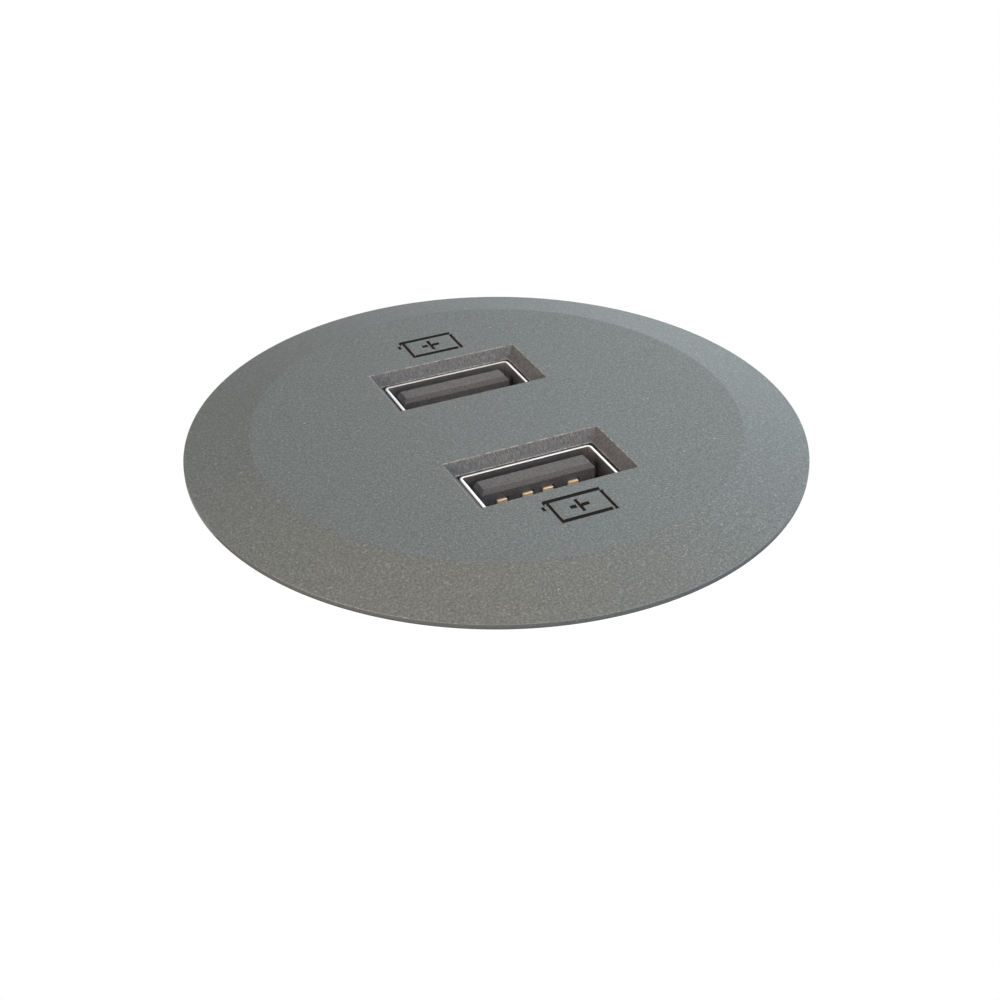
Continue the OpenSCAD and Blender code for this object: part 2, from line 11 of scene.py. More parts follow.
import bmesh
import bpy
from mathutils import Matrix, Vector

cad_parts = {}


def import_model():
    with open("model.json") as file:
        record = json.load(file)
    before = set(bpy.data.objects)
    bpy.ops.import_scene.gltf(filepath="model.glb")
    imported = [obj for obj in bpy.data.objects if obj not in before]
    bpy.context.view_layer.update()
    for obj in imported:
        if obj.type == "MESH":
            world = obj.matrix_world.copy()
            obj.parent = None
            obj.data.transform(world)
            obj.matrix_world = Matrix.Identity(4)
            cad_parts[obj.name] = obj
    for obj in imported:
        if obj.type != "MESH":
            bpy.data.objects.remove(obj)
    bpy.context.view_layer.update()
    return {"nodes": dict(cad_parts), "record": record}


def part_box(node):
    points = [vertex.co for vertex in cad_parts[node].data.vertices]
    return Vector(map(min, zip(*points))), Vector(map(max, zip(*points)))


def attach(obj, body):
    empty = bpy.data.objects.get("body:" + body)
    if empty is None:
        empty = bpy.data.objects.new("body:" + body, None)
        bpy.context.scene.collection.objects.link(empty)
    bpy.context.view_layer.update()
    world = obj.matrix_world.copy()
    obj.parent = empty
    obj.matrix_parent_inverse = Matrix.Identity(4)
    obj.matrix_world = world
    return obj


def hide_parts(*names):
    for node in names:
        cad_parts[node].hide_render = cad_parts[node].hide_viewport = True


MM = 0.001

# Two measures that differ by less than SAME are one, and corners nearer than WELD are merged.
SAME = 0.001
WELD = 0.0005

# How far a cutter reaches past what it cuts.
PAST = 1

# In degrees: edges below SMOOTH are shaded smooth, and faces below ONE_PLANE become one.
SMOOTH = 50
ONE_PLANE = 1

# The camera of the photograph.
CAMERA_AT = (-50.878, -107.951, 72.305)
CAMERA_AIM = (-4.217, -9.639, 0.03)
CAMERA_LENS = 54.247
CAMERA_SENSOR = 36

# Where the studio's wall is dimmer for reflections: its azimuth and elevation.
DIM_TOWARDS = (187, 15)

# The desk plate: a small offcut of desk in front of the socket, which narrows towards the camera.
PLATE_T = 1.2
PLATE_NEAR = (23.9, 25)
PLATE_FAR = (68, 10.8)
PLATE_CORNER = 3
PLATE_HOLE_R = 25.4
PLATE_EDGE = 0.15

# The bezel.
EDGE = 0.06
FLAT_R = 22.5
RIM_BAND = 0.5
SKIN_Z = 0.2
SPIGOT_R = 25.2
SPIGOT_WALL = 1.9
SPIGOT_L = 4
POST_INTO = 0.5
FLAT_RING = 0.5
POCKET_X = (-7.62, 7.73)
POCKET_Y = {1: (5.05, 12.55), -1: (-12.72, -5.05)}
POCKET_DEPTH = 1
WINDOW_INTO = 0.3
PORT_FIELD = (8, 14)
MARK_X = 0.28
MARK_Y = 15.88
MARK_SIZE = (5.3, 3.16)
MARK_LINES = (0.33, 0.4)
MARK_DEPTH = 0.09
MARK_FLARE = 0.03
MARK_MARGIN = (0.8, 0.3)
PLUS_ARM = 0.92
CREASE = 0.07

# The ports.
SHELL_GAPS = ((0.17, 0.2), (0.25, 0.3))
SHELL_WIDER = 0.05
SHELL_SHIFT = {"front": -0.08, "rear": -0.02}
SHELL_CORNER = 0.5
SHELL_T = 0.3
SHELL_ROUND = 0.1
SLIT_W = 0.3
SLIT_L = 6.5
SLIT_DROP = 0.85
SIDE_SLIT_Y = 1.2
SPRING_X = (-4.4, -2, 2, 4.4)
LEG_DROP = 2.4
LEG_W = 1.8
PORT_INTO = 1
SHELL_EDGE = 0.02
TONGUE_L = 11.14
TONGUE_SHIFT = -0.08
TONGUE_CHAMFER = 0.36
TONGUE_T = 1.84
TONGUE_BASE_H = 4
TONGUE_EDGE = 0.03
CONTACT_X = (-3.8, -1.3, 0.7, 3.2)
CONTACT_TOP = -0.2
CONTACT_W = 0.96
CONTACT_EDGE = 0.06
TAIL_W = 0.6
NOTCH_W = 0.2
NOTCH_DEPTH = 0.4
NOTCH_RISE = 0.04
NOTCH_L = 4

# The posts, lugs and screws under the bezel.
POST_X = 15
POST_R = 2.6
LUG_R = 18.7
LUG_HALF = 3.2
LUG_T = 2.5
LUG_HOLE_R = 1.6
LUG_ANGLES = (45, 135, 225, 315)
LUG_INTO = 0.3

# The barrel, its thread and the nut's.
ROOT_R = 23.9
BORE_R = 22
NECK_R = 23.1
CREST_R = 25
NECK_Z = -5
PITCH = 4
THREAD_LOW = -43
THREAD_TURNS = 9
RIDGE_BASE = 1.25
RIDGE_CREST = 0.65
RIDGE_INTO = 0.2
STEPS_PER_TURN = 96
MOULDED_EDGE = 0.12
GROOVE_W = 5
GROOVE_R = 23.6
NUT_BORE_R = 25.3
NUT_R = 29
NUT_RIB_R = 1.3
NUT_RIBS = 24
NUT_CHAMFER = 0.5
NUT_EDGE = 0.15
RIB_EDGE = 0.45
NUT_RIDGE_R = 24.25
NUT_RIDGE_EASE = 0.05
NUT_RIDGE_LIFT = 0.1
TAB_W = 4.4
TAB_L = 4

# The pieces inside. The wire's wave is in radians to a millimetre.
BOARD_R = 21.25
BOARD_RIM = 0.03
LEAD_DROP = 0.02
CHIP_LEG_L = 0.79
TAPE_W = 1.4
WIRE_WAVE = 15.7
SLEEVE_PITCH = 6
STRIPE_FROM = 5.1


# Making and shaping pieces

def added(name):
    """Takes up the primitive that was just added: names it and puts its place into its mesh."""
    piece = bpy.context.active_object
    piece.name = name
    piece.data.name = name
    bpy.ops.object.transform_apply(location=True, rotation=True, scale=True)
    return piece


def only(piece):
    """Makes piece the one selected and active object."""
    bpy.ops.object.select_all(action="DESELECT")
    piece.select_set(True)
    bpy.context.view_layer.objects.active = piece


@contextlib.contextmanager
def editing(piece):
    """Edit mode on piece, with nothing of its mesh selected at first."""
    only(piece)
    bpy.ops.object.mode_set(mode="EDIT")
    bpy.ops.mesh.select_all(action="DESELECT")
    yield
    bpy.ops.object.mode_set(mode="OBJECT")


def pick(piece, kind, test):
    """Selects the faces, edges or vertices whose middle, in mm, passes the test."""
    bpy.ops.mesh.select_mode(type={"verts": "VERT", "edges": "EDGE", "faces": "FACE"}[kind])
    bpy.ops.mesh.select_all(action="DESELECT")
    mesh = bmesh.from_edit_mesh(piece.data)
    for part in getattr(mesh, kind):
        corners = [part] if kind == "verts" else part.verts
        middle = sum((v.co for v in corners), Vector()) / len(corners) / MM
        if test(middle):
            part.select_set(True)
    mesh.select_flush_mode()
    bmesh.update_edit_mesh(piece.data)


def block(name, low, high):
    """A box between two corners."""
    low, high = Vector(low) * MM, Vector(high) * MM
    bpy.ops.mesh.primitive_cube_add(size=1, location=(low + high) / 2, scale=high - low)
    return added(name)


def flared_block(name, low, high, top_low, top_high):
    """A box between two corners whose top face is then stretched to another rectangle."""
    piece = block(name, low, high)
    corners = (low, high, top_low, top_high)
    low, high, top_low, top_high = (Vector(corner[:2]) * MM for corner in corners)
    ratio = [(top_high[i] - top_low[i]) / (high[i] - low[i]) for i in range(2)]
    middle = (low + high) / 2
    shift = (top_low + top_high) / 2 - middle
    with editing(piece):
        top = max(v.co.z for v in piece.data.vertices)
        pick(piece, "faces", lambda p: abs(p.z - top / MM) < SAME)
        bpy.ops.transform.resize(value=(*ratio, 1), center_override=(*middle, top))
        bpy.ops.transform.translate(value=(*shift, 0))
    return piece


def rod(name, radius, low, high, at=(0, 0), sides=64):
    """An upright cylinder from z = low to z = high."""
    bpy.ops.mesh.primitive_cylinder_add(vertices=sides, radius=radius * MM, depth=(high - low) * MM,
                                        location=(at[0] * MM, at[1] * MM, (low + high) / 2 * MM))
    return added(name)


def turned(name, profile, sides=192, closed=True):
    """A ring or disc turned about Z: a circle extruded and widened along (radius, z) points."""
    radius, z = profile[0]
    bpy.ops.mesh.primitive_circle_add(vertices=sides, radius=radius * MM, location=(0, 0, z * MM))
    piece = added(name)
    with editing(piece):
        bpy.ops.mesh.select_all(action="SELECT")
        for new_radius, new_z in [*profile[1:], *(profile[:1] if closed else [])]:
            rise = (0, 0, (new_z - z) * MM)
            bpy.ops.mesh.extrude_region_move(TRANSFORM_OT_translate={"value": rise})
            ratio = new_radius / radius
            bpy.ops.transform.resize(value=(ratio, ratio, 1), center_override=(0, 0, new_z * MM))
            radius, z = new_radius, new_z
        if closed:
            bpy.ops.mesh.select_all(action="SELECT")
            bpy.ops.mesh.remove_doubles(threshold=WELD * MM)
        bpy.ops.mesh.select_all(action="SELECT")
        bpy.ops.mesh.normals_make_consistent(inside=False)
    return piece


def close_ends(piece, *levels):
    """Fills the open circles of a turned piece that lie at these heights."""
    for z in levels:
        with editing(piece):
            pick(piece, "verts", lambda p: abs(p.z - z) < SAME)
            bpy.ops.mesh.select_mode(type="EDGE")
            bpy.ops.mesh.edge_face_add()
            bpy.ops.mesh.select_all(action="SELECT")
            bpy.ops.mesh.normals_make_consistent(inside=False)


def apply(piece, kind, **settings):
    """Adds a modifier with these settings and applies it."""
    only(piece)
    modifier = piece.modifiers.new(kind.lower(), kind)
    for name, value in settings.items():
        setattr(modifier, name, value)
    bpy.ops.object.modifier_apply(modifier=modifier.name)
    return piece


def join(pieces):
    """Joins pieces into the first one, as loose parts of one mesh."""
    bpy.ops.object.select_all(action="DESELECT")
    for piece in pieces:
        piece.select_set(True)
    bpy.context.view_layer.objects.active = pieces[0]
    bpy.ops.object.join()
    return pieces[0]


def combine(piece, other, operation):
    """Cuts other from piece, or unites them, and removes other."""
    apply(piece, "BOOLEAN", object=other, operation=operation, solver="EXACT", use_self=True)
    bpy.data.objects.remove(other)
    return piece


def smooth(piece):
    """Shades the piece smooth between its sharp edges, with the flat faces kept flat."""
    only(piece)
    bpy.ops.object.shade_smooth_by_angle(angle=math.radians(SMOOTH))
    apply(piece, "WEIGHTED_NORMAL", weight=80, keep_sharp=True)
    return piece


def soften(piece, width, segments=2, angle=30):
    """Rounds the edges that are sharper than angle, and shades the piece smooth."""
    apply(piece, "BEVEL", width=width * MM, segments=segments, limit_method="ANGLE",
          angle_limit=math.radians(angle))
    return smooth(piece)


def copy_of(piece, name, shift=(0, 0, 0), turn=0):
    """A copy with its own mesh, moved by shift and then turned by turn degrees about Z."""
    twin = piece.copy()
    twin.data = piece.data.copy()
    twin.name = name
    twin.data.name = name
    bpy.context.scene.collection.objects.link(twin)
    only(twin)
    bpy.ops.transform.translate(value=Vector(shift) * MM)
    bpy.ops.transform.rotate(value=-math.radians(turn), orient_axis="Z", center_override=(0, 0, 0))
    bpy.ops.object.transform_apply(location=True, rotation=True, scale=True)
    return twin


def ring_of(piece, angles):
    """The piece, which is at the first angle about Z, joined with its copies at the others."""
    first, *others = angles
    return join([piece, *[copy_of(piece, piece.name, turn=a - first) for a in others]])


def place(piece, node, body, slot, *finishes):
    """Lets a finished piece stand for a CAD node."""
    piece.data.materials.clear()
    for finish in finishes:
        piece.data.materials.append(finish)
    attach(piece, body)
    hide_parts(node)


def size_of(node):
    """A CAD node's lowest and highest corners in mm."""
    low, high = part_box(node)
    return low / MM, high / MM


# Shaders

class Value:
    """A number that varies over a surface. Python's operators on it add Math nodes."""

    def __init__(self, shader, socket):
        self.shader = shader
        self.socket = socket

    def math(self, operation, *others):
        """The result of a Math node on this value and others."""
        sockets = dict(enumerate((self, *others)))
        return self.shader.value("ShaderNodeMath", {"operation": operation}, sockets)

    def __add__(self, other):
        return self.math("ADD", other)

    def __mul__(self, other):
        return self.math("MULTIPLY", other)

    def __truediv__(self, other):
        return self.math("DIVIDE", other)

    def __pow__(self, other):
        return self.math("POWER", other)

    def __gt__(self, other):
        return self.math("GREATER_THAN", other)

    def __lt__(self, other):
        return self.math("LESS_THAN", other)

    def __abs__(self):
        return self.math("ABSOLUTE")

    def __rsub__(self, other):
        return self * -1 + other

    __radd__ = __add__
    __rmul__ = __mul__


class Shader:
    """The node tree of a material or of the world, under construction."""

    def __init__(self, owner, output="ShaderNodeOutputMaterial"):
        owner.use_nodes = True
        self.tree = owner.node_tree
        self.tree.nodes.clear()
        self.output = self.node(output)

    def node(self, kind, settings=None, sockets=None):
        """Adds a node with its settings, and then the values or links of its sockets."""
        made = self.tree.nodes.new(kind)
        for name, setting in (settings or {}).items():
            setattr(made, name, setting)
        for key, entry in (sockets or {}).items():
            if isinstance(entry, Value):
                entry = entry.socket
            if isinstance(entry, bpy.types.NodeSocket):
                self.tree.links.new(entry, made.inputs[key])
            else:
                made.inputs[key].default_value = entry
        return made

    def value(self, kind, settings=None, sockets=None, output=0):
        """Adds a node and gives one of its outputs as a Value."""
        return Value(self, self.node(kind, settings, sockets).outputs[output])

    def coordinates(self, scale=(1, 1, 1), turn=0):
        """Object coordinates in mm, stretched by scale and turned about Z."""
        here = self.node("ShaderNodeTexCoord").outputs["Object"]
        sockets = {"Vector": here, "Rotation": (0, 0, math.radians(turn)),
                   "Scale": Vector(scale) / MM}
        return self.node("ShaderNodeMapping", {}, sockets).outputs[0]

    def axes(self):
        """Object coordinates in mm, as three values."""
        split = self.node("ShaderNodeSeparateXYZ", {}, {0: self.coordinates()})
        return [Value(self, split.outputs[i]) for i in range(3)]

    def facing(self, axis):
        """How far the surface faces along an axis (0, 1 or 2 for x, y or z), from -1 to 1."""
        normal = self.node("ShaderNodeTexCoord").outputs["Normal"]
        return Value(self, self.node("ShaderNodeSeparateXYZ", {}, {0: normal}).outputs[axis])

    def noise(self, size, detail=2, roughness=0.5, at=None):
        """Soft noise from 0 to 1 whose blobs are about size mm across."""
        sockets = {"Vector": at or self.coordinates(), "Scale": 1 / size, "Detail": detail,
                   "Roughness": roughness}
        return self.value("ShaderNodeTexNoise", {}, sockets)

    def contrast(self, value, low, high):
        """A value stretched so that low becomes 0 and high becomes 1."""
        return self.value("ShaderNodeMapRange", {}, {0: value, 1: low, 2: high, 3: 0, 4: 1})

    def flecks(self, size, share, radius):
        """1 in small round flecks, about one in this share of the cells of size mm."""
        sockets = {"Vector": self.coordinates(), "Scale": 1 / size}
        cells = self.node("ShaderNodeTexVoronoi", {}, sockets)
        chance = self.value("ShaderNodeSeparateColor", {}, {0: cells.outputs["Color"]})
        near = Value(self, cells.outputs["Distance"]) < radius / size
        return near * (chance < share)

    def mix(self, factor, first, second, how="MIX"):
        """Colour first where factor is 0 and second where it is 1."""
        settings = {"data_type": "RGBA", "blend_type": how}
        return self.node("ShaderNodeMix", settings, {0: factor, 6: first, 7: second}).outputs[2]

    def ramp(self, factor, *stops):
        """A colour that follows factor through (position, colour) stops."""
        made = self.node("ShaderNodeValToRGB", {}, {0: factor})
        elements = made.color_ramp.elements
        while len(elements) < len(stops):
            elements.new(0.5)
        for element, (position, colour) in zip(elements, stops):
            element.position = position
            element.color = colour
        return made.outputs[0]

    def bump(self, height, distance):
        """A normal pushed by height times distance in mm."""
        sockets = {"Height": height, "Distance": distance * MM}
        return self.node("ShaderNodeBump", {}, sockets).outputs[0]

    def surface(self, sockets):
        """Ends a material in one Principled shader."""
        shader = self.node("ShaderNodeBsdfPrincipled", {}, sockets)
        self.tree.links.new(shader.outputs[0], self.output.inputs[0])


def grey(level):
    """A linear grey."""
    return (level, level, level, 1)


def finish(build):
    """Makes a material of a function that fills a Shader, and names it after the function."""
    material = bpy.data.materials.new(build.__name__)
    build(Shader(material))
    return material


def metallic_paint(s):
    """The bezel's coat: grey metallic paint with a fine grain, small pale flecks and painted shade.
    """
    grain = s.contrast(s.noise(0.17, detail=2, roughness=0.65), 0.36, 0.66)
    flecks = s.contrast(s.noise(0.22, detail=1), 0.58, 0.74)
    cloud = s.noise(2.5, detail=2)
    sparks = s.flecks(0.9, 0.05, 0.09)
    base = s.mix(grain, (0.091, 0.119, 0.126, 1), (0.175, 0.210, 0.221, 1))
    base = s.mix(flecks * 0.7, base, (0.257, 0.303, 0.308, 1))
    base = s.mix(cloud * 0.2, base, (0.150, 0.166, 0.172, 1))
    base = s.mix(sparks * 0.6, base, (0.50, 0.53, 0.53, 1))
    # Painted shade: steep faces such as the rim band are painted darker and bluer.
    base = s.mix(s.contrast(s.facing(2), 0.6, 0.2) * 0.7, base, (0.064, 0.074, 0.084, 1))
    s.surface({"Base Color": base, "Metallic": 0.3, "Roughness": 0.5 - flecks * 0.08,
               "Normal": s.bump(grain, 0.008)})


def pocket_wall_paint(s):
    """The coat on the pockets' cut walls, with the cutter's coarse streaks down each slope."""
    sideways = abs(s.facing(0)) > abs(s.facing(1))
    across = s.mix(sideways, s.coordinates((1, 0.22, 0.22)), s.coordinates((0.22, 1, 0.22)))
    streak = s.contrast(s.noise(0.09, detail=4, roughness=0.75, at=across), 0.37, 0.64)
    pits = s.contrast(s.noise(0.12, detail=2), 0.56, 0.68)
    tone = s.noise(0.9, detail=2)
    base = s.mix(streak, (0.043, 0.048, 0.054, 1), (0.182, 0.202, 0.224, 1))
    base = s.mix(tone * 0.3, base, (0.098, 0.105, 0.113, 1))
    base = s.mix(pits * 0.5, base, (0.030, 0.029, 0.028, 1))
    s.surface({"Base Color": base, "Metallic": 0.25, "Roughness": 0.55,
               "Normal": s.bump(streak, 0.03)})


def highlight_and_wear_paint(s):
    """The coat's thin cut edges, painted paler as a painted highlight, and worn paler still in
    places.
    """
    wear = s.contrast(s.noise(0.35, detail=3), 0.35, 0.62)
    base = s.mix(wear, (0.130, 0.137, 0.138, 1), (0.330, 0.335, 0.330, 1))
    s.surface({"Base Color": base, "Metallic": 0.3, "Roughness": 0.55 - wear * 0.1,
               "Normal": s.bump(wear, 0.01)})


def mark_painted_shade(s):
    """Painted shade in the engraved battery marks: near black on their floors and shaded walls."""
    speck = s.noise(0.1, detail=2)
    base = s.mix(speck, (0.004, 0.004, 0.005, 1), (0.018, 0.019, 0.021, 1))
    s.surface({"Base Color": base, "Roughness": 0.85, "Specular IOR Level": 0.15,
               "Normal": s.bump(speck, 0.01)})


def moulded_black(s):
    """Black glass-filled plastic with the fine grain of its mould."""
    grain = s.contrast(s.noise(0.24, detail=3, roughness=0.7), 0.3, 0.7)
    cloud = s.noise(5, detail=3)
    base = s.mix(cloud, (0.009, 0.009, 0.010, 1), (0.020, 0.020, 0.021, 1))
    base = s.mix(grain * 0.3, base, (0.030, 0.030, 0.031, 1))
    s.surface({"Base Color": base, "Roughness": 0.34 + grain * 0.16 + cloud * 0.14,
               "Normal": s.bump(grain, 0.014)})


def zinc_plate(s):
    """Zinc-plated steel: pale, faintly blue, with the lines of its rolling and small spangles."""
    lines = s.noise(0.12, detail=4, roughness=0.7, at=s.coordinates((0.04, 1, 1), turn=18))
    spangle = s.noise(1.6, detail=3, roughness=0.6)
    base = s.ramp(spangle, (0.3, (0.54, 0.56, 0.58, 1)), (0.5, (0.60, 0.61, 0.61, 1)),
                  (0.75, (0.65, 0.64, 0.60, 1)))
    s.surface({"Base Color": base, "Metallic": 1.0, "Roughness": 0.28 + lines * 0.16,
               "Normal": s.bump(lines, 0.004)})


def nickel_shell(s):
    """The ports' nickel-plated sheet, bright and finely scratched."""
    scratches = s.noise(0.15, detail=3, roughness=0.6, at=s.coordinates((1, 1, 0.1)))
    stain = s.noise(1.2, detail=2)
    base = s.mix(stain, (0.75, 0.77, 0.79, 1), (0.88, 0.90, 0.92, 1))
    s.surface({"Base Color": base, "Metallic": 1.0, "Roughness": 0.26 + scratches * 0.12,
               "Normal": s.bump(scratches, 0.0006)})


def tongue_grain_and_painted_light(s):
    """The tongues' dark grey plastic with its grain, and painted light and shade by facing: a paler
    top, darker chamfers and violet grey sides.
    """
    grain = s.contrast(s.noise(0.16, detail=3, roughness=0.65), 0.34, 0.66)
    up = s.facing(2)
    # Painted light and shade: the colour follows which way each face looks, paler on top, darker on
    # the chamfers and violet grey on the fronts and sides.
    tone = s.ramp(up, (0.0, (0.076, 0.078, 0.087, 1)), (0.4, (0.057, 0.057, 0.062, 1)),
                  (0.8, (0.057, 0.057, 0.062, 1)), (0.95, (0.111, 0.117, 0.124, 1)))
    base = s.mix(grain, (0.50, 0.50, 0.50, 1), (1.50, 1.50, 1.50, 1))
    base = s.mix(1.0, tone, base, how="MULTIPLY")
    s.surface({"Base Color": base, "Roughness": 0.5 + grain * 0.1, "Normal": s.bump(grain, 0.012)})


def gold_plate(s):
    """Thin gold plating on the contacts, paler where plugs have worn it."""
    rub = s.noise(0.25, detail=3, at=s.coordinates((1, 1, 0.2)))
    base = s.mix(rub, (0.84, 0.71, 0.46, 1), (0.93, 0.84, 0.63, 1))
    s.surface({"Base Color": base, "Metallic": 0.7, "Roughness": 0.5 + rub * 0.14,
               "Normal": s.bump(rub, 0.003)})


def solder_mask(s):
    """Green solder mask over copper tracks, with the pale glass laminate at the edge."""
    x, y, _ = s.axes()
    tracks = s.value("ShaderNodeTexBrick", {"offset": 0.5}, {
        "Vector": s.coordinates(turn=45), "Scale": 0.22, "Mortar Size": 0.035, "Bias": 0.0,
    }, output=1)
    weave = s.noise(0.5, detail=2)
    mask = s.mix(tracks, (0.010, 0.085, 0.040, 1), (0.022, 0.170, 0.085, 1))
    rim = (x * x + y * y) ** 0.5 > BOARD_R - BOARD_RIM
    base = s.mix(rim, mask, (0.42, 0.36, 0.20, 1))
    s.surface({"Base Color": base, "Roughness": 0.28 + weave * 0.15 + rim * 0.3,
               "Normal": s.bump(tracks, 0.03)})


def chip_epoxy(s):
    """Black epoxy with a fine matt speckle."""
    speck = s.noise(0.08, detail=3, roughness=0.7)
    base = s.mix(speck, (0.012, 0.012, 0.013, 1), (0.045, 0.045, 0.047, 1))
    s.surface({"Base Color": base, "Roughness": 0.55 + speck * 0.2, "Normal": s.bump(speck, 0.01)})


def tinned(s):
    """Dull tin on leads and legs."""
    stain = s.noise(0.4, detail=3)
    base = s.mix(stain, (0.46, 0.46, 0.45, 1), (0.66, 0.66, 0.64, 1))
    s.surface({"Base Color": base, "Metallic": 1.0, "Roughness": 0.3 + stain * 0.2,
               "Normal": s.bump(stain, 0.01)})


def aluminium_can(s):
    """Drawn aluminium, with fine rings round the can."""
    rings = s.noise(0.15, detail=3, roughness=0.6, at=s.coordinates((0.02, 0.02, 1)))
    base = s.mix(rings, (0.62, 0.63, 0.64, 1), (0.76, 0.77, 0.78, 1))
    s.surface({"Base Color": base, "Metallic": 1.0, "Roughness": 0.24 + rings * 0.16,
               "Normal": s.bump(rings, 0.004)})


def turned_brass(s):
    """Turned brass, with the lathe's fine rings."""
    rings = s.noise(0.12, detail=3, roughness=0.6, at=s.coordinates((0.05, 0.05, 1)))
    tarnish = s.noise(1.5, detail=3)
    base = s.mix(tarnish, (0.60, 0.42, 0.16, 1), (0.74, 0.56, 0.26, 1))
    s.surface({"Base Color": base, "Metallic": 1.0, "Roughness": 0.22 + rings * 0.16,
               "Normal": s.bump(rings, 0.006)})


def copper_turns(s):
    """Enamelled copper wire, wound turn by turn."""
    *_, z = s.axes()
    turns = (z * WIRE_WAVE).math("SINE")
    shade = s.noise(0.6, detail=2)
    base = s.mix(shade, (0.36, 0.12, 0.045, 1), (0.58, 0.22, 0.08, 1))
    s.surface({"Base Color": base, "Metallic": 0.8, "Roughness": 0.3 + shade * 0.1,
               "Normal": s.bump(turns * 0.5 + 0.5, 0.06)})


def ferrite_grain(s):
    """Pressed and ground ferrite, dark grey with pits."""
    pits = s.noise(0.2, detail=4, roughness=0.7)
    base = s.mix(pits, (0.022, 0.022, 0.024, 1), (0.062, 0.062, 0.066, 1))
    s.surface({"Base Color": base, "Metallic": 0.2, "Roughness": 0.5 + pits * 0.2,
               "Normal": s.bump(pits, 0.02)})


def brown_moulding(s):
    """The bobbin's dark brown moulding compound."""
    grain = s.noise(0.2, detail=3)
    base = s.mix(grain, (0.022, 0.018, 0.015, 1), (0.045, 0.038, 0.032, 1))
    s.surface({"Base Color": base, "Roughness": 0.4 + grain * 0.2, "Normal": s.bump(grain, 0.012)})


def polyester_tape(s):
    """Yellow tape wound over the transformer's coil, with its edges and a few creases."""
    *_, z = s.axes()
    edges = z.math("PINGPONG", TAPE_W) / TAPE_W
    creases = s.noise(0.9, detail=3, at=s.coordinates((1, 1, 2.5)))
    base = s.mix(edges, (0.62, 0.40, 0.04, 1), (0.80, 0.58, 0.09, 1))
    s.surface({"Base Color": base, "Roughness": 0.22 + creases * 0.2,
               "Normal": s.bump(edges * 0.4 + creases, 0.05)})


def sleeve(dark, light, stripe):
    """A capacitor's shrunk sleeve with a paler stripe down one side."""
    def printed_sleeve(s):
        x, y, _ = s.axes()
        wrinkles = s.noise(0.9, detail=2, at=s.coordinates((1, 1, 0.3)))
        band = (x + y * 0.4).math("PINGPONG", SLEEVE_PITCH) > STRIPE_FROM
        base = s.mix(wrinkles, dark, light)
        base = s.mix(band, base, stripe)
        s.surface({"Base Color": base, "Roughness": 0.24 + wrinkles * 0.12,
                   "Normal": s.bump(wrinkles, 0.02)})
    return printed_sleeve


def film_case(s):
    """A film capacitor's yellow box, satin with a cloudy resin face."""
    cloud = s.noise(1.8, detail=3)
    grain = s.noise(0.12, detail=2)
    base = s.mix(cloud, (0.62, 0.46, 0.06, 1), (0.76, 0.60, 0.12, 1))
    s.surface({"Base Color": base, "Roughness": 0.38 + grain * 0.15,
               "Normal": s.bump(grain, 0.008)})


def dipped_resin(s):
    """Blue dipped resin, glossy and a little wavy."""
    waves = s.noise(2.2, detail=2)
    base = s.mix(waves, (0.015, 0.075, 0.26, 1), (0.030, 0.130, 0.38, 1))
    s.surface({"Base Color": base, "Roughness": 0.14 + waves * 0.1, "Coat Weight": 0.3,
               "Normal": s.bump(waves, 0.12)})


def fuse_cover(s):
    """The fuse's reddish brown case."""
    grain = s.noise(0.15, detail=3)
    base = s.mix(grain, (0.115, 0.055, 0.028, 1), (0.185, 0.095, 0.050, 1))
    s.surface({"Base Color": base, "Roughness": 0.35 + grain * 0.2, "Normal": s.bump(grain, 0.01)})


def pin_nickel(s):
    """Bright nickel on the inlet's pins, with the rings of turning."""
    rings = s.noise(0.1, detail=3, at=s.coordinates((0.05, 0.05, 1)))
    base = s.mix(rings, (0.60, 0.59, 0.56, 1), (0.74, 0.73, 0.70, 1))
    s.surface({"Base Color": base, "Metallic": 1.0, "Roughness": 0.18 + rings * 0.14,
               "Normal": s.bump(rings, 0.003)})


# The stage

def make_camera():
    """The photograph's camera."""
    camera = bpy.data.objects.new("camera", bpy.data.cameras.new("camera"))
    camera.data.lens = CAMERA_LENS
    camera.data.sensor_width = CAMERA_SENSOR
    camera.data.clip_start = MM
    bpy.context.scene.collection.objects.link(camera)
    camera.location = Vector(CAMERA_AT) * MM
    aim = Vector(CAMERA_AIM) - Vector(CAMERA_AT)
    camera.rotation_euler = aim.to_track_quat("-Z", "Y").to_euler()
    bpy.context.scene.camera = camera


def direction(azimuth, elevation):
    """The way out from the socket. Azimuth 0 is in front of it and 90 at its right."""
    a = math.radians(azimuth)
    e = math.radians(elevation)
    return Vector((math.sin(a) * math.cos(e), -math.cos(a) * math.cos(e), math.sin(e)))


def lamp(name, azimuth, elevation, energy, colour, size=0.35, distance=0.6):
    """A square soft lamp that faces the socket. Its size and distance are in metres."""
    light = bpy.data.lights.new(name, "AREA")
    light.energy = energy
    light.color = colour
    light.size = size
    stand = bpy.data.objects.new(name, light)
    bpy.context.scene.collection.objects.link(stand)
    away = direction(azimuth, elevation)
    stand.location = away * distance
    stand.rotation_euler = away.to_track_quat("Z", "Y").to_euler()


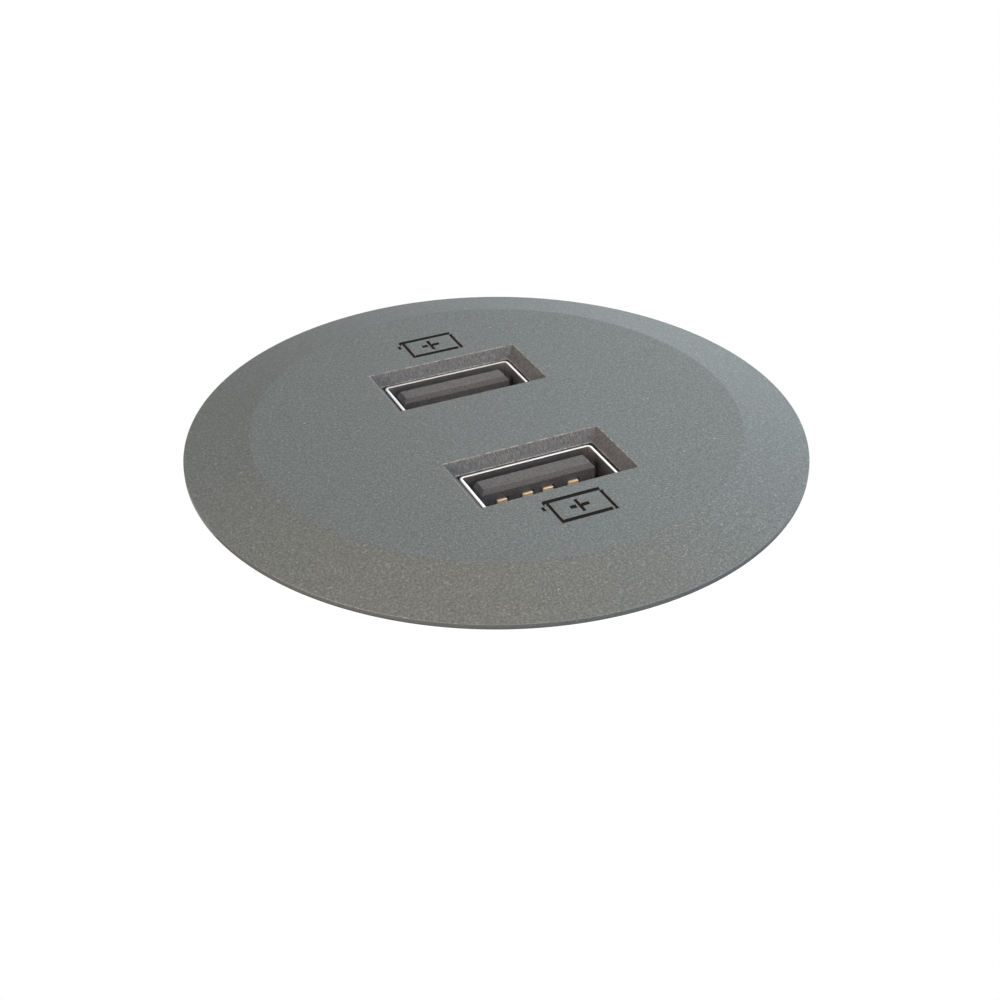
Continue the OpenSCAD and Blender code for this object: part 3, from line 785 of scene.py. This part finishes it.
def light_the_stage():
    """Soft lamps, and a world that looks white while it lights the socket at a plain level."""
    lamp("right_lamp", azimuth=123, elevation=24, energy=1.17, colour=(0.88, 0.96, 1.0), size=0.6)
    lamp("front_lamp", azimuth=45, elevation=32, energy=2.35, colour=(0.94, 0.97, 1.0), size=0.5)
    lamp("near_lamp", azimuth=-14, elevation=11, energy=1.15, colour=(1.0, 0.84, 0.72), size=0.5)
    lamp("left_lamp", azimuth=-70, elevation=12, energy=3.6, colour=(1.0, 0.75, 0.56))
    lamp("low_lamp", azimuth=-30, elevation=-40, energy=0.55, colour=(1.0, 1.0, 1.0))
    world = bpy.data.worlds.new("studio")
    bpy.context.scene.world = world
    s = Shader(world, "ShaderNodeOutputWorld")
    path = s.node("ShaderNodeLightPath")
    camera, glossy, through = (Value(s, path.outputs[f"Is {ray} Ray"])
                               for ray in ("Camera", "Glossy", "Transmission"))
    seen = camera.math("MAXIMUM", glossy).math("MAXIMUM", through)
    way = s.node("ShaderNodeTexCoord").outputs["Generated"]
    near_dim = s.value("ShaderNodeVectorMath", {"operation": "DOT_PRODUCT"},
                       {0: way, 1: direction(*DIM_TOWARDS)}, output=1)
    height = s.value("ShaderNodeSeparateXYZ", {}, {0: way}, output=2)
    # Only reflections see the warm ceiling and the dim part of the wall.
    ceiling = s.contrast(height, 0.64, 0.86) * glossy
    dim = s.contrast(near_dim, 0.85, 0.99) * glossy
    soft = s.node("ShaderNodeBackground", {}, {"Color": (0.96, 0.98, 1.0, 1), "Strength": 0.28})
    wall = s.mix(ceiling, grey(1.0), (1.62, 1.03, 0.70, 1))
    wall = s.mix(dim, wall, (0.40, 0.37, 0.36, 1))
    white = s.node("ShaderNodeBackground", {}, {"Color": wall, "Strength": 1.0})
    both = s.node("ShaderNodeMixShader", {}, {0: seen, 1: soft.outputs[0], 2: white.outputs[0]})
    s.tree.links.new(both.outputs[0], s.output.inputs[0])


def desk_white(s):
    """The desk plate's pale surface. The camera sees its top as white where nothing shades it."""
    up = s.facing(2)
    seen = Value(s, s.node("ShaderNodeLightPath").outputs["Is Camera Ray"])
    grain = s.noise(0.8, detail=2)
    pale = s.node("ShaderNodeBsdfDiffuse", {}, {"Color": s.mix(grain, grey(0.88), grey(0.94))})
    white = s.node("ShaderNodeEmission", {}, {"Color": grey(1), "Strength": 1.08})
    both = s.node("ShaderNodeMixShader", {}, {0: seen * (up > 0.5) * 0.93, 1: pale.outputs[0],
                                              2: white.outputs[0]})
    s.tree.links.new(both.outputs[0], s.output.inputs[0])


def desk_plate():
    """A small offcut of desk: the camera sees a desk top, and the other views see past it."""
    ahead = Vector(CAMERA_AT).to_2d().normalized()
    aside = Vector((-ahead.y, ahead.x))
    near, near_r = PLATE_NEAR
    far, far_w = PLATE_FAR
    plate = rod("desk_plate", near_r, -PLATE_T, 0, at=ahead * near, sides=256)
    corners = [rod("corner", PLATE_CORNER, -PLATE_T, 0, at=ahead * far + aside * w)
               for w in (-far_w, far_w)]
    join([plate, *corners])
    with editing(plate):
        bpy.ops.mesh.select_all(action="SELECT")
        bpy.ops.mesh.convex_hull()
    combine(plate, rod("hole", PLATE_HOLE_R, -PLATE_T - PAST, PAST, sides=256), "DIFFERENCE")
    soften(plate, PLATE_EDGE)
    plate.data.materials.append(finish(desk_white))


# The bezel

def pocket_cutter(side, shell):
    """The sunk pocket with its mitred slopes and the window under it, as overlapping solids."""
    top = size_of("bezel")[1].z
    low, high = shell
    foot_z = top - POCKET_DEPTH
    foot_low, foot_high = low.xy - Vector(SHELL_GAPS[0]), high.xy + Vector(SHELL_GAPS[1])
    mouth_low, mouth_high = (Vector(corner) for corner in zip(POCKET_X, POCKET_Y[side]))
    slopes = flared_block("slopes", (*foot_low, foot_z), (*foot_high, top + POCKET_DEPTH),
                          2 * mouth_low - foot_low, 2 * mouth_high - foot_high)
    window = block("window", (*foot_low, -PAST), (*foot_high, foot_z + WINDOW_INTO))
    return [slopes, window]


def mark_cutters(side):
    """The strokes of one battery mark: its outline, a trace of its nub, and a plus sign."""
    top = size_of("bezel")[1].z
    w, h = MARK_SIZE[0] / 2, MARK_SIZE[1] / 2
    u, v = MARK_LINES[0] / 2, MARK_LINES[1] / 2
    strokes = {
        "upper line": (-w - u / 2, w + u / 2, h - v, h + v),
        "nick at its left end": (-w - u, -w - u / 5, h - 2.2 * v, h),
        "right line": (w - u, w + u, -h - v, h - 1.6 * v),
        "lower line": (u / 2 - w, w - 2 * u, -h - v, v - h),
        "left line": (u / 2 - w, 2.5 * u - w, -h - v, h - v),
        "nub": (-w - 3.4 * u, -w - 1.4 * u, h * 0.28, h * 0.62),
        "upright of the plus": (-u, u, -PLUS_ARM, PLUS_ARM),
        "right arm": (0, PLUS_ARM, -v, v),
        "left arm": (-PLUS_ARM, -1.8 * u, -v, v),
    }
    at = Vector((MARK_X, side * MARK_Y))
    spread = MARK_FLARE * (MARK_DEPTH + PAST) / MARK_DEPTH
    wider = Vector((spread, spread))
    cutters = []
    for x0, x1, y0, y1 in strokes.values():
        low, high = at + Vector((x0, y0)), at + Vector((x1, y1))
        cutters.append(flared_block("stroke", (*low, top - MARK_DEPTH), (*high, top + PAST),
                                    low - wider, high + wider))
    return cutters


def bezel():
    """The face: a turned dish with a sloping rim, two pockets and two engraved marks."""
    low, high = size_of("bezel")
    rim_r, top = high.x, high.z
    slope = math.atan2(top - RIM_BAND, rim_r - FLAT_R)
    drop = CREASE * math.tan(slope)
    skirt_r = SPIGOT_R - SPIGOT_WALL
    profile = [(FLAT_R - FLAT_RING, top), (FLAT_R - CREASE, top), (FLAT_R, top - drop / 4),
               (FLAT_R + CREASE, top - drop), (rim_r, RIM_BAND), (rim_r, 0), (SPIGOT_R, 0),
               (SPIGOT_R, -SPIGOT_L), (skirt_r, -SPIGOT_L), (skirt_r, SKIN_Z)]
    face = turned("bezel_face", profile, sides=256, closed=False)
    close_ends(face, top, SKIN_Z)
    posts = ring_of(rod("post", POST_R, low.z, SKIN_Z + POST_INTO, (POST_X, 0)), (0, 180))
    first = math.radians(LUG_ANGLES[0])
    boss = rod("boss", POST_R, -SPIGOT_L, SKIN_Z + POST_INTO,
               (LUG_R * math.cos(first), LUG_R * math.sin(first)))
    combine(face, join([posts, ring_of(boss, LUG_ANGLES)]), "UNION")
    rear = pocket_cutter(1, size_of("rear_port_shell"))
    front = pocket_cutter(-1, size_of("front_port_shell"))
    combine(face, join(rear + front), "DIFFERENCE")
    soften(face, EDGE)
    marks = [bar for side in (1, -1) for bar in mark_cutters(side)]
    combine(face, join(marks), "DIFFERENCE")
    smooth(face)
    place(face, "bezel", "socket", "coat", finish(metallic_paint), finish(pocket_wall_paint),
          finish(mark_painted_shade), finish(highlight_and_wear_paint))
    paint_the_cuts(face, top)


def paint_the_cuts(face, top):
    """Gives the pockets' walls their own finish, the marks' walls painted shade or a painted
    highlight, and the pockets' cut edges a painted highlight with wear.
    """
    wall, painted_groove_shade, highlight_and_wear = 1, 2, 3
    foot_z = top - POCKET_DEPTH
    for polygon in face.data.polygons:
        middle = polygon.center / MM
        normal = polygon.normal
        if middle.z > top - SAME or middle.z < SKIN_Z / 2:
            continue
        if by_a_mark(middle):
            # Painted light on the marks: walls that face the light from the left and the rear get
            # the pale edge paint as a painted highlight, and the rest near black paint as painted
            # shade.
            lit = max(-normal.x, normal.y) > 0.3
            polygon.material_index = highlight_and_wear if lit else painted_groove_shade
        elif abs(middle.x) < PORT_FIELD[0] and abs(middle.y) < PORT_FIELD[1]:
            # Painted highlight: the bevels at the pocket's mouth and foot get the pale edge paint.
            at_the_mouth = middle.z > top - EDGE
            at_the_foot = abs(middle.z - foot_z) < EDGE and normal.z > 0.05
            polygon.material_index = highlight_and_wear if at_the_mouth or at_the_foot else wall


def by_a_mark(p):
    """Whether a point on the face is one of a battery mark's."""
    half_x, half_y = (size / 2 + margin for size, margin in zip(MARK_SIZE, MARK_MARGIN))
    return abs(p.x - MARK_X) < half_x and abs(abs(p.y) - MARK_Y) < half_y


# The ports

def port_shell(name, node):
    """A port's shell: a tube of sheet metal with tight corners, spring slits and two legs."""
    low, high = size_of(node)
    low.x -= SHELL_WIDER
    floor_z = low.z + LEG_DROP
    shell = block(name, (low.x, low.y, floor_z), high)
    with editing(shell):
        pick(shell, "edges", lambda p: abs(p.z - (floor_z + high.z) / 2) < SAME)
        bpy.ops.mesh.bevel(offset=SHELL_CORNER * MM, segments=5, affect="EDGES")
        pick(shell, "faces", lambda p: min(abs(p.z - floor_z), abs(p.z - high.z)) < SAME)
        bpy.ops.mesh.delete(type="FACE")
    apply(shell, "SOLIDIFY", thickness=SHELL_T * MM, offset=-1, use_even_offset=True)
    middle = (low + high) / 2
    straight = (high - low) / 2 - Vector((SHELL_CORNER, SHELL_CORNER, 0))

    def on_the_outer_rim(p):
        past = [max(abs(p[i] - middle[i]) - straight[i], 0) for i in range(2)]
        return abs(p.z - high.z) < SAME and math.hypot(*past) > SHELL_CORNER - SHELL_T / 6

    with editing(shell):
        pick(shell, "edges", on_the_outer_rim)
        bpy.ops.mesh.bevel(offset=SHELL_ROUND * MM, segments=3, affect="EDGES")
    for side in (-1, 1):
        x = middle.x + side * (high.x - low.x - SHELL_T) / 2
        combine(shell, block("leg", (x - SHELL_T / 2, middle.y - LEG_W / 2, low.z),
                             (x + SHELL_T / 2, middle.y + LEG_W / 2, floor_z + PORT_INTO)), "UNION")
    slit_top = high.z - SLIT_DROP
    slit_low = slit_top - SLIT_L
    slits = [block("slit", (x - SLIT_W / 2, low.y - PAST, slit_low),
                   (x + SLIT_W / 2, high.y + PAST, slit_top))
             for x in (middle.x + spring for spring in SPRING_X)]
    slits += [block("slit", (low.x - PAST, y - SLIT_W / 2, slit_low),
                    (high.x + PAST, y + SLIT_W / 2, slit_top))
              for y in (middle.y - SIDE_SLIT_Y, middle.y + SIDE_SLIT_Y)]
    combine(shell, join(slits), "DIFFERENCE")
    soften(shell, SHELL_EDGE)
    return shell


def port_tongue(name, node):
    """A port's tongue on its base block, with its tip's edges chamfered."""
    low, high = size_of(node)
    middle = (low + high) / 2
    base = block(name, low, (high.x, high.y, low.z + TONGUE_BASE_H))
    with editing(base):
        pick(base, "edges", lambda p: abs(p.z - low.z - TONGUE_BASE_H / 2) < SAME)
        bpy.ops.mesh.bevel(offset=(SHELL_CORNER - SHELL_T) * MM, segments=4, affect="EDGES")
    front = middle.y
    x = middle.x + TONGUE_SHIFT
    tongue = block("tongue", (x - TONGUE_L / 2, front, low.z + PORT_INTO),
                   (x + TONGUE_L / 2, front + TONGUE_T, high.z))
    with editing(tongue):
        pick(tongue, "edges", lambda p: abs(p.z - high.z) < SAME and p.y < front + TONGUE_T - SAME)
        bpy.ops.mesh.bevel(offset=TONGUE_CHAMFER * MM, segments=1, affect="EDGES")
    combine(base, tongue, "UNION")
    sides = [middle.x + contact + CONTACT_W / 2 for contact in CONTACT_X]
    notches = [block("notch", (side, front - PAST, CONTACT_TOP - NOTCH_L),
                     (side + NOTCH_W, front + NOTCH_DEPTH, CONTACT_TOP + NOTCH_RISE))
               for side in sides]
    combine(base, join(notches), "DIFFERENCE")
    soften(base, TONGUE_EDGE)
    return base


def port_contacts(name, node):
    """The four contacts of a port, each a flat strip with a rounded end and a narrow tail."""
    low, high = size_of(node)
    board = low.z + LEG_DROP
    strips = []
    for x in (contact + (low.x + high.x) / 2 for contact in CONTACT_X):
        strip = block("strip", (x - CONTACT_W / 2, low.y, board),
                      (x + CONTACT_W / 2, high.y, CONTACT_TOP))
        tail = block("tail", (x - TAIL_W / 2, low.y, low.z),
                     (x + TAIL_W / 2, high.y, board + PORT_INTO))
        strips.append(soften(combine(strip, tail, "UNION"), CONTACT_EDGE))
    contacts = join(strips)
    contacts.name = name
    contacts.data.name = name
    return contacts


def ports():
    """Both ports. The front one is modelled, and the rear one is its copy."""
    makers = {"shell": (port_shell, "plated_shell", finish(nickel_shell)),
              "tongue": (port_tongue, "tongue_plastic", finish(tongue_grain_and_painted_light)),
              "contacts": (port_contacts, "gold_contact", finish(gold_plate))}
    for part, (make, slot, look) in makers.items():
        front, rear = f"front_port_{part}", f"rear_port_{part}"
        piece = make(f"front_{part}_piece", front)
        shift = size_of(rear)[0] - size_of(front)[0]
        twin = copy_of(piece, f"rear_{part}_piece", shift)
        if part == "shell":
            for shell, port in ((piece, "front"), (twin, "rear")):
                only(shell)
                bpy.ops.transform.translate(value=(SHELL_SHIFT[port] * MM, 0, 0))
                bpy.ops.object.transform_apply(location=True)
        place(piece, front, "socket", slot, look)
        place(twin, rear, "socket", slot, look)


# The thread, the barrel, the nut and the washer

def helix(name, section, turns, start=0):
    """A closed ridge wound about Z from a section of (radius, z) points, from start turns on."""
    bpy.ops.mesh.primitive_circle_add(vertices=len(section), radius=MM)
    ridge = added(name)
    for vertex, (radius, z) in zip(ridge.data.vertices, section):
        vertex.co = Vector((radius, 0, z)) * MM
    apply(ridge, "SCREW", axis="Z", angle=2 * math.pi, screw_offset=PITCH * MM, iterations=turns,
          steps=STEPS_PER_TURN, render_steps=STEPS_PER_TURN, use_smooth_shade=True)
    only(ridge)
    bpy.ops.transform.rotate(value=-2 * math.pi * start, orient_axis="Z", center_override=(0, 0, 0))
    bpy.ops.object.transform_apply(location=True, rotation=True, scale=True)
    with editing(ridge):
        bpy.ops.mesh.select_all(action="SELECT")
        bpy.ops.mesh.remove_doubles(threshold=WELD * MM)
        bpy.ops.mesh.select_all(action="DESELECT")
        bpy.ops.mesh.select_mode(type="EDGE")
        bpy.ops.mesh.select_non_manifold()
        bpy.ops.mesh.edge_face_add()
        bpy.ops.mesh.select_all(action="SELECT")
        bpy.ops.mesh.normals_make_consistent(inside=False)
    return ridge


def barrel(look):
    """The threaded body tube, with a neck, two key grooves and four lugs for the bezel's screws."""
    low, high = size_of("barrel")
    tube = turned("barrel_piece", [
        (BORE_R, low.z), (ROOT_R, low.z), (ROOT_R, NECK_Z),
        (NECK_R, NECK_Z), (NECK_R, high.z), (BORE_R, high.z)])
    section = [(ROOT_R - RIDGE_INTO, THREAD_LOW - RIDGE_BASE), (CREST_R, THREAD_LOW - RIDGE_CREST),
               (CREST_R, THREAD_LOW + RIDGE_CREST), (ROOT_R - RIDGE_INTO, THREAD_LOW + RIDGE_BASE)]
    ridge = helix("ridge", section, THREAD_TURNS)
    for piece, inner in ((tube, GROOVE_R), (ridge, BORE_R)):
        groove = block("groove", (inner, -GROOVE_W / 2, low.z - PAST),
                       (CREST_R + PAST, GROOVE_W / 2, NECK_Z))
        combine(piece, ring_of(groove, (0, 180)), "DIFFERENCE")
    lug_z = -SPIGOT_L - LUG_T
    lug = rod("lug", LUG_HALF, lug_z, -SPIGOT_L, (LUG_R, 0), sides=48)
    arm = block("arm", (LUG_R, -LUG_HALF, lug_z), (BORE_R + LUG_INTO, LUG_HALF, -SPIGOT_L))
    combine(lug, arm, "UNION")
    combine(lug, rod("hole", LUG_HOLE_R, lug_z - PAST, 0, (LUG_R, 0), sides=32), "DIFFERENCE")
    lugs = ring_of(copy_of(lug, "lugs", turn=LUG_ANGLES[0]), LUG_ANGLES)
    bpy.data.objects.remove(lug)
    combine(tube, lugs, "UNION")
    soften(tube, MOULDED_EDGE)
    soften(ridge, MOULDED_EDGE)
    place(join([tube, ridge]), "barrel", "socket", "black_plastic", look)


def ring_nut(look):
    """The ribbed nut, with chamfered faces and its own thread inside."""
    low, high = size_of("ring_nut")
    face_r = NUT_R - NUT_CHAMFER
    nut = turned("ring_nut_piece", [
        (NUT_BORE_R, low.z), (face_r, low.z), (NUT_R, low.z + NUT_CHAMFER),
        (NUT_R, high.z - NUT_CHAMFER), (face_r, high.z), (NUT_BORE_R, high.z)])
    rib = soften(rod("rib", NUT_RIB_R, low.z, high.z, (NUT_R, 0), sides=32), RIB_EDGE, segments=4)
    combine(nut, ring_of(rib, [360 * i / NUT_RIBS for i in range(NUT_RIBS)]), "UNION")
    soften(nut, NUT_EDGE)
    ridge_z = low.z + RIDGE_BASE + NUT_RIDGE_LIFT
    turn = (ridge_z - THREAD_LOW - PITCH / 2) / PITCH
    wall_r = NUT_BORE_R + RIDGE_INTO
    foot = RIDGE_BASE - NUT_RIDGE_EASE
    section = [(NUT_RIDGE_R, ridge_z - RIDGE_CREST), (wall_r, ridge_z - foot),
               (wall_r, ridge_z + foot), (NUT_RIDGE_R, ridge_z + RIDGE_CREST)]
    ridge = soften(helix("nut_ridge", section, 1, start=turn), MOULDED_EDGE)
    place(join([nut, ridge]), "ring_nut", "nut", "black_plastic", look)


def clamp_washer(look):
    """The steel washer, with two tabs that run in the barrel's grooves."""
    low, high = size_of("clamp_washer")
    washer = turned("clamp_washer_piece", [
        (NUT_BORE_R, low.z), (high.x, low.z), (high.x, high.z), (NUT_BORE_R, high.z)])
    tab = block("tab", (ROOT_R, -TAB_W / 2, low.z), (ROOT_R + TAB_L, TAB_W / 2, high.z))
    combine(washer, ring_of(tab, (0, 180)), "UNION")
    soften(washer, MOULDED_EDGE, segments=3)
    place(washer, "clamp_washer", "washer", "zinc_steel", look)


# The pieces inside and under the barrel

def rounded(frame, node, width):
    """A copy of a CAD node with its facets merged and its edges rounded."""
    mesh = frame["nodes"][node].data.copy()
    mesh.name = f"{node}_piece"
    piece = bpy.data.objects.new(mesh.name, mesh)
    bpy.context.scene.collection.objects.link(piece)
    with editing(piece):
        bpy.ops.mesh.select_all(action="SELECT")
        bpy.ops.mesh.remove_doubles(threshold=WELD * MM)
        bpy.ops.mesh.normals_make_consistent(inside=False)
        bpy.ops.mesh.dissolve_limited(angle_limit=math.radians(ONE_PLANE))
    return soften(piece, width)


def dress(frame, node, main, *others, width=0.08):
    """Lets a rounded copy stand for a CAD node.

    The other finishes come as (finish, test) pairs, for the faces whose corners pass the test.
    """
    piece = rounded(frame, node, width)
    slots = {part["node"]: part["material_slot"] for part in frame["record"]["subparts"]}
    place(piece, node, "socket", slots[node], main, *[look for look, test in others])
    for polygon in piece.data.polygons:
        corners = [piece.data.vertices[i].co / MM for i in polygon.vertices]
        for index, (look, test) in enumerate(others, start=1):
            if test(corners):
                polygon.material_index = index


def dress_the_inside(frame, black):
    """The pieces that keep their CAD shapes, with their edges rounded."""
    tin = finish(tinned)
    zinc = finish(zinc_plate)
    chip = finish(chip_epoxy)
    core = finish(ferrite_grain)
    copper = finish(copper_turns)
    blue = finish(dipped_resin)
    board = finish(solder_mask)
    under_board = size_of("power_board")[0].z
    leads = (tin, lambda corners: min(c.z for c in corners) < under_board - LEAD_DROP)
    dress(frame, "bezel_screws", zinc)
    dress(frame, "base_screws", zinc)
    dress(frame, "base_cap", black, width=0.25)
    dress(frame, "inlet_body", black, width=0.2)
    dress(frame, "inlet_pins", finish(pin_nickel), width=0.3)
    dress(frame, "usb_board", board, width=0.03)
    dress(frame, "power_board", board, width=0.03)
    dress(frame, "board_spacers", finish(turned_brass))
    dress(frame, "board_link_pins", copper, width=0.05)
    dress(frame, "port_capacitors", finish(aluminium_can), width=0.3)
    dress(frame, "transformer_core", core, width=0.15)
    dress(frame, "transformer_bobbin", finish(brown_moulding), leads)
    dress(frame, "transformer_winding", finish(polyester_tape), width=0.3)
    dress(frame, "choke_core", core, leads, width=0.15)
    dress(frame, "choke_winding", copper, width=0.3)
    dress(frame, "mains_capacitor", finish(film_case), leads, width=0.3)
    dress(frame, "fuse", finish(fuse_cover), leads, width=0.3)
    dress(frame, "safety_capacitor", blue, leads, width=0.5)
    dress(frame, "varistor", blue, leads, width=0.5)
    black_sleeve = sleeve(grey(0.012), grey(0.024), grey(0.55))
    blue_sleeve = sleeve((0.010, 0.025, 0.11, 1), (0.018, 0.045, 0.17, 1), grey(0.5))
    dress(frame, "bulk_capacitor", finish(black_sleeve), leads, width=0.4)
    dress(frame, "output_capacitors", finish(blue_sleeve), leads, width=0.4)
    for node in ("charge_controllers", "bridge_rectifier", "controller_ic", "optocoupler",
                 "output_rectifier"):
        low, high = size_of(node)
        half = (high.y - low.y) / 2 - CHIP_LEG_L
        middle = (low.y + high.y) / 2
        legs = (tin, lambda corners, m=middle, h=half: max(abs(c.y - m) for c in corners) > h)
        dress(frame, node, chip, legs)


def main():
    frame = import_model()
    bpy.context.scene.view_settings.view_transform = "Standard"
    make_camera()
    light_the_stage()
    desk_plate()
    black = finish(moulded_black)
    bezel()
    ports()
    barrel(black)
    ring_nut(black)
    clamp_washer(finish(zinc_plate))
    dress_the_inside(frame, black)
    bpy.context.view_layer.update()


main()
